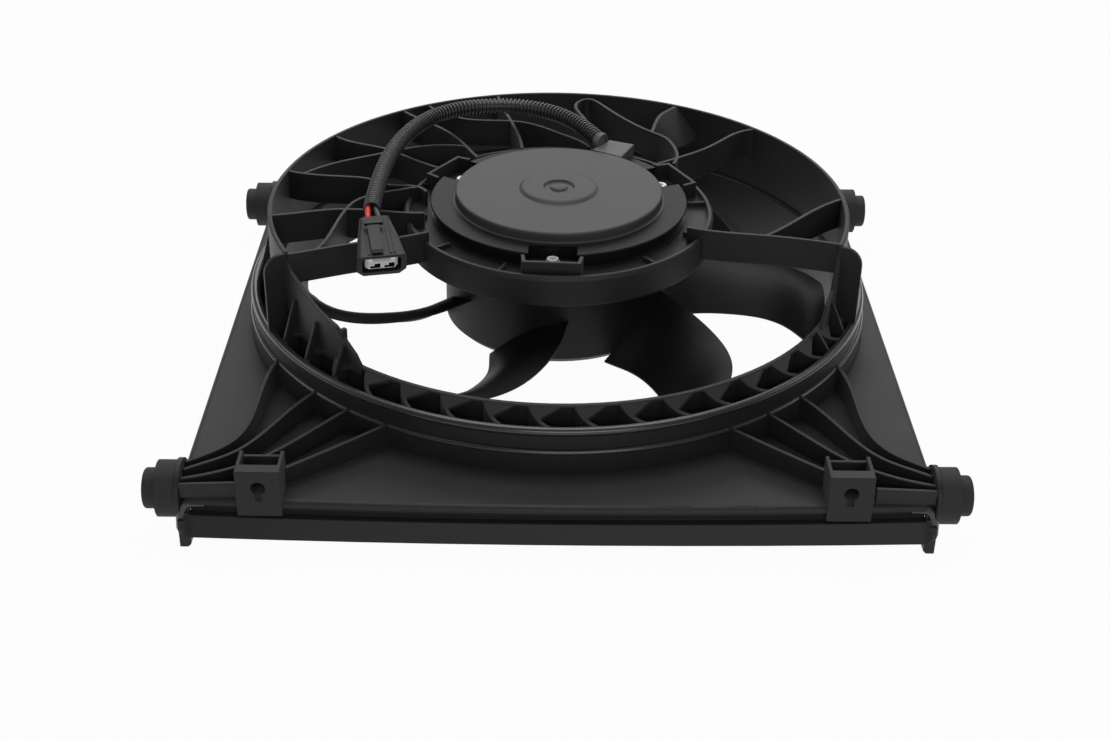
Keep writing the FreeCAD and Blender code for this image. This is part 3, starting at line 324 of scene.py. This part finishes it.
# bearings and shaft, ground bearing steel: smooth and bright
bearingSteel = plainMaterial("groundBearingSteel", "#9fa1a3", "#b5b6b8", 4, 0.5, 0.03,
                             Roughness=0.2, Metallic=1.0)
dress(["bearing_lower", "bearing_upper", "motor_shaft"], bearingSteel)
# drive insert of the hub, phosphated steel: dark, dull metal
darkSteel = plainMaterial("phosphatedSteel", "#4a4b4b", "#5a5a5a", 4, 0.6, 0.06,
                          Roughness=0.45, Metallic=1.0)
dress(["drive_insert"], darkSteel)
# cable outlet, moulded polyamide: grey-brown like the cap's coat, evenly satin
outletPlastic = plainMaterial("mouldedPolyamide", "#3f3c3f", "#4b474b", 10, 0.8, 0.08,
                              Roughness=0.5, IOR=1.53)
dress(["cable_outlet"], outletPlastic)
# conduit, blow-moulded polypropylene: black with a soft gloss along the rings
conduitPlastic = plainMaterial("blowMouldedPolypropylene", "#232325", "#303033", 6, 0.6, 0.05,
                               Roughness=0.36, IOR=1.49)
# plug body and latch, moulded PBT: deep black with a satin skin
plugPlastic = plainMaterial("pbtConnector", "#111114", "#19191c", 6, 0.6, 0.06,
                            Roughness=0.42, IOR=1.55, Specular_IOR_Level=0.3)
dress(["plug_body", "plug_latch"], plugPlastic)
# plug insert, moulded PBT without pigment: near white
insertPlastic = plainMaterial("naturalPbt", "#ecebee", "#f6f5f7", 4, 0.6, 0.04,
                              Roughness=0.45, IOR=1.55)
dress(["plug_insert"], insertPlastic)
# wires, extruded PVC sheath: plain colour with a soft gloss
redPvc = plainMaterial("redPvcSheath", "#c8201a", "#d92f27", 3, 0.5, 0.03,
                       Roughness=0.35, IOR=1.53)
dress(["wire_red"], redPvc)
blackPvc = plainMaterial("blackPvcSheath", "#1f1f21", "#2a2a2c", 3, 0.5, 0.03,
                         Roughness=0.35, IOR=1.53)
dress(["wire_black"], blackPvc)
# terminals, tin-plated brass: pale, slightly warm metal
tin = plainMaterial("tinPlatedBrass", "#b5b4ae", "#c8c6bf", 2, 0.4, 0.03,
                    Roughness=0.3, Metallic=1.0)
dress(["plug_terminals"], tin)
print("materials ready")


# pale insert in the mouth of the plug, in the plug's own frame: X across, Y out of the mouth
plugFrame = {
    "place": (-0.135913, -0.062642, 0.150826),
    "across": (-0.976187, -0.216930, 0.0),
    "ahead": (0.199007, -0.895533, -0.398015),
}
insertPlan = {  # in mm; each box is given by its low and its high corner
    "block": [(-11.9, 21.1, -5.6), (11.9, 40.9, 7.5)],
    "cornerCut": 2.4,
    "longEdge": 5.0,  # only the edges that run further than this out of the mouth are cut
    "flange": [(-13.9, 21.1, -6.8), (13.9, 22.3, 7.7)],
    "cuts": [
        [(-6.6, 22.6, 4.4), (6.6, 42.0, 9.0)],  # notch in the top
        [(-9.2, 22.6, -2.6), (-2.0, 42.0, -0.2)],  # two slots, each with a step
        [(-9.2, 22.6, -0.5), (-5.0, 42.0, 2.2)],
        [(1.0, 22.6, -2.6), (8.2, 42.0, -0.2)],
        [(1.0, 22.6, -0.5), (5.2, 42.0, 2.2)],
    ],
    "paintedShadeSlots": [(-9.3, 22.5, -2.7), (9.3, 40.8, 2.3)],  # holds the middle of every face in the slots
}


def addBox(corners):
    # box between two corners in mm, with its place applied to the mesh
    low, high = [Vector([side * mm for side in corner]) for corner in corners]
    bpy.ops.mesh.primitive_cube_add(size=1, location=(low + high) / 2)
    block = bpy.context.object
    block.scale = high - low
    bpy.ops.object.transform_apply(location=True, rotation=True, scale=True)
    return block


def combine(body, tool, operation):
    step = body.modifiers.new("step", "BOOLEAN")
    step.operation = operation
    step.solver = "EXACT"
    step.object = tool
    bpy.context.view_layer.objects.active = body
    bpy.ops.object.modifier_apply(modifier="step")
    bpy.data.objects.remove(tool)


def makeInsert(plan):
    block = addBox(plan["block"])
    block.name = "plug_socket_block"
    for edge in block.data.edges:
        start, end = [block.data.vertices[i].co.y for i in edge.vertices]
        edge.select = abs(start - end) > plan["longEdge"] * mm
    bpy.ops.object.mode_set(mode="EDIT")
    bpy.ops.mesh.select_mode(type="EDGE")
    bpy.ops.mesh.bevel(offset=plan["cornerCut"] * mm, segments=1)
    bpy.ops.object.mode_set(mode="OBJECT")
    combine(block, addBox(plan["flange"]), "UNION")
    for corners in plan["cuts"]:
        combine(block, addBox(corners), "DIFFERENCE")
    # the faces inside the slots take the black plug plastic: painted shade, standing in for the dark
    # depth of the narrow slots
    block.data.materials.clear()
    block.data.materials.append(insertPlastic)
    block.data.materials.append(plugPlastic)
    for polygon in block.data.polygons:
        sides = zip(plan["paintedShadeSlots"][0], polygon.center / mm, plan["paintedShadeSlots"][1])
        polygon.material_index = int(all(low < at < high for low, at, high in sides))
    across = Vector(plugFrame["across"])
    ahead = Vector(plugFrame["ahead"])
    turn = Matrix((across, ahead, across.cross(ahead))).transposed()
    block.matrix_world = Matrix.Translation(plugFrame["place"]) @ turn.to_4x4()
    bpy.ops.object.select_all(action="DESELECT")
    block.select_set(True)
    bpy.ops.object.transform_apply(location=True, rotation=True, scale=True)
    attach(block, "shroud")
    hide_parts("plug_insert")
    return block


def routeCurve(name, route, steps):
    # curve through a route's control points, cut into so many steps between two of them
    curve = bpy.data.curves.new(name, "CURVE")
    curve.dimensions = "3D"
    curve.resolution_u = steps
    spline = curve.splines.new("NURBS")
    spline.points.add(len(route) - 1)
    for point, place in zip(spline.points, route):
        point.co = (*place, 1.0)
    spline.order_u = 3
    spline.use_endpoint_u = True
    line = bpy.data.objects.new(name, curve)
    scene.collection.objects.link(line)
    return line


# rolled front corners of the plate: the front roll turns down to the foot of the skirt
cornerPlan = {
    "route": [(0.2370, -0.2517, 0.0335), (0.2478, -0.2523, 0.0348), (0.2522, -0.2524, 0.0300),
              (0.2526, -0.2535, 0.0220), (0.2528, -0.2545, 0.0140)],  # of the right-hand corner
    "radius": 4.7 * mm,
    "roundness": 5,
    "steps": 8,
    "sameWithin": 0.01 * mm,
}


def makeCorner(plan, side, name):
    roll = routeCurve(name, [(side * x, y, z) for x, y, z in plan["route"]], plan["steps"])
    roll.data.bevel_depth = plan["radius"]
    roll.data.bevel_resolution = plan["roundness"]
    roll.data.use_fill_caps = True
    bpy.ops.object.select_all(action="DESELECT")
    roll.select_set(True)
    bpy.context.view_layer.objects.active = roll
    bpy.ops.object.convert(target="MESH")
    corner = bpy.context.object
    bpy.ops.object.mode_set(mode="EDIT")
    bpy.ops.mesh.select_all(action="SELECT")
    bpy.ops.mesh.remove_doubles(threshold=plan["sameWithin"])
    bpy.ops.mesh.normals_make_consistent(inside=False)
    bpy.ops.object.mode_set(mode="OBJECT")
    bpy.ops.object.shade_smooth_by_angle(angle=smoothBelow)
    corner.data.materials.append(polishedNylon)
    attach(corner, "shroud")


# rounded crests of the two steps at the foot of the barrel
crestPlan = {
    "rings": [  # name, radius of the ring, radius of the crest, height over the shaft's zero
        ("barrel_bead_crest", 238.5 * mm, 3.5 * mm, -6.4 * mm),
        ("barrel_step_crest", 240.6 * mm, 2.6 * mm, -21.6 * mm),
    ],
    "around": 240,
    "across": 14,
}


def makeCrests(plan):
    for name, ringRadius, crestRadius, height in plan["rings"]:
        bpy.ops.mesh.primitive_torus_add(major_segments=plan["around"], minor_segments=plan["across"],
                                         major_radius=ringRadius, minor_radius=crestRadius,
                                         location=shaftAt + Vector((0, 0, height)))
        crest = bpy.context.object
        crest.name = name
        bpy.ops.object.transform_apply(location=True, rotation=True, scale=True)
        bpy.ops.object.shade_smooth()
        crest.data.materials.append(polishedNylon)
        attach(crest, "shroud")


# corrugated conduit, from the cable outlet to the plug
conduitPlan = {
    "route": [(0.03449, 0.11497, 0.1427), (0.0160, 0.1530, 0.1460), (-0.0295, 0.1820, 0.1465),
              (-0.0840, 0.1745, 0.1470), (-0.1200, 0.1330, 0.1485), (-0.1395, 0.0350, 0.1530),
              (-0.1385, -0.0510, 0.1560)],
    "steps": 24,
    "diameter": 13.0 * mm,
    "rootDiameter": 9.9 * mm,
    "bore": 9.3 * mm,
    "pitch": 3.5 * mm,  # drawn coarser than the 2.5 mm of such a tube, so that the rings show
    "rootShare": 0.38,  # share of the pitch that stays at the root
    "ring": [(0.06, 0.96), (0.10, 1.0), (0.30, 1.0), (0.10, 0.96)],  # shares of pitch and diameter
    "fallShare": 0.06,  # share of the pitch in which the ring falls back to the root
    "sides": 28,
    "sameWithin": 0.02 * mm,
    "endWithin": 0.001 * mm,
}


def pointsAlong(route):
    line = bpy.data.meshes.new_from_object(route.evaluated_get(bpy.context.evaluated_depsgraph_get()))
    points = [v.co.copy() for v in line.vertices]
    bpy.data.meshes.remove(line)
    return points


def makeCorrugation(plan, pitch):
    # one ring of the tube lying along X: root, shoulder, crest, shoulder, root
    outer = plan["diameter"] / 2
    root = plan["rootDiameter"] / 2
    rootLength = pitch * plan["rootShare"]
    bpy.ops.mesh.primitive_cylinder_add(vertices=plan["sides"], radius=root, depth=rootLength,
                                        end_fill_type="NOTHING", rotation=(0, pi / 2, 0),
                                        location=(rootLength / 2, 0, 0))
    tube = bpy.context.object
    bpy.ops.object.transform_apply(location=True, rotation=True, scale=True)
    bpy.ops.object.mode_set(mode="EDIT")
    bpy.ops.mesh.select_mode(type="EDGE")
    radius = root
    at = rootLength
    profile = [(share, outer * size) for share, size in plan["ring"]] + [(plan["fallShare"], root)]
    for share, nextRadius in profile:
        bpy.ops.mesh.select_all(action="DESELECT")
        bpy.ops.object.mode_set(mode="OBJECT")
        for edge in tube.data.edges:
            ends = [tube.data.vertices[i].co.x for i in edge.vertices]
            edge.select = min(ends) > at - plan["endWithin"]
        bpy.ops.object.mode_set(mode="EDIT")
        bpy.ops.mesh.extrude_region_move(TRANSFORM_OT_translate={"value": (pitch * share, 0, 0)})
        grow = nextRadius / radius
        bpy.ops.transform.resize(value=(1, grow, grow), center_override=(at, 0, 0))
        radius = nextRadius
        at += pitch * share
    bpy.ops.object.mode_set(mode="OBJECT")
    return tube


def makeConduit(plan):
    route = routeCurve("conduitRoute", plan["route"], plan["steps"])
    points = pointsAlong(route)
    length = sum((b - a).length for a, b in zip(points, points[1:]))
    rings = round(length / plan["pitch"])
    pitch = length / rings
    tube = makeCorrugation(plan, pitch)
    tube.name = "conduit_tube"
    repeat = tube.modifiers.new("rings", "ARRAY")
    repeat.count = rings
    repeat.use_relative_offset = False
    repeat.use_constant_offset = True
    repeat.constant_offset_displace = (pitch, 0, 0)
    repeat.use_merge_vertices = True
    repeat.merge_threshold = plan["sameWithin"]
    wall = tube.modifiers.new("wall", "SOLIDIFY")
    wall.thickness = (plan["rootDiameter"] - plan["bore"]) / 2
    wall.offset = -1.0
    bend = tube.modifiers.new("alongRoute", "CURVE")
    bend.object = route
    bend.deform_axis = "POS_X"
    for modifier in ("rings", "wall", "alongRoute"):
        bpy.ops.object.modifier_apply(modifier=modifier)
    bpy.ops.object.shade_smooth_by_angle(angle=smoothBelow)
    tube.data.materials.append(conduitPlastic)
    bpy.data.objects.remove(route)
    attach(tube, "shroud")
    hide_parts("conduit")
    print("conduit:", rings, "rings over", round(length / mm, 1), "mm")


plugInsert = makeInsert(insertPlan)
print("plug insert:", len(plugInsert.data.polygons), "faces")
makeCorner(cornerPlan, -1, "corner_roll_left")
makeCorner(cornerPlan, 1, "corner_roll_right")
print("corner rolls ready")
makeCrests(crestPlan)
print("barrel crests ready")
makeConduit(conduitPlan)
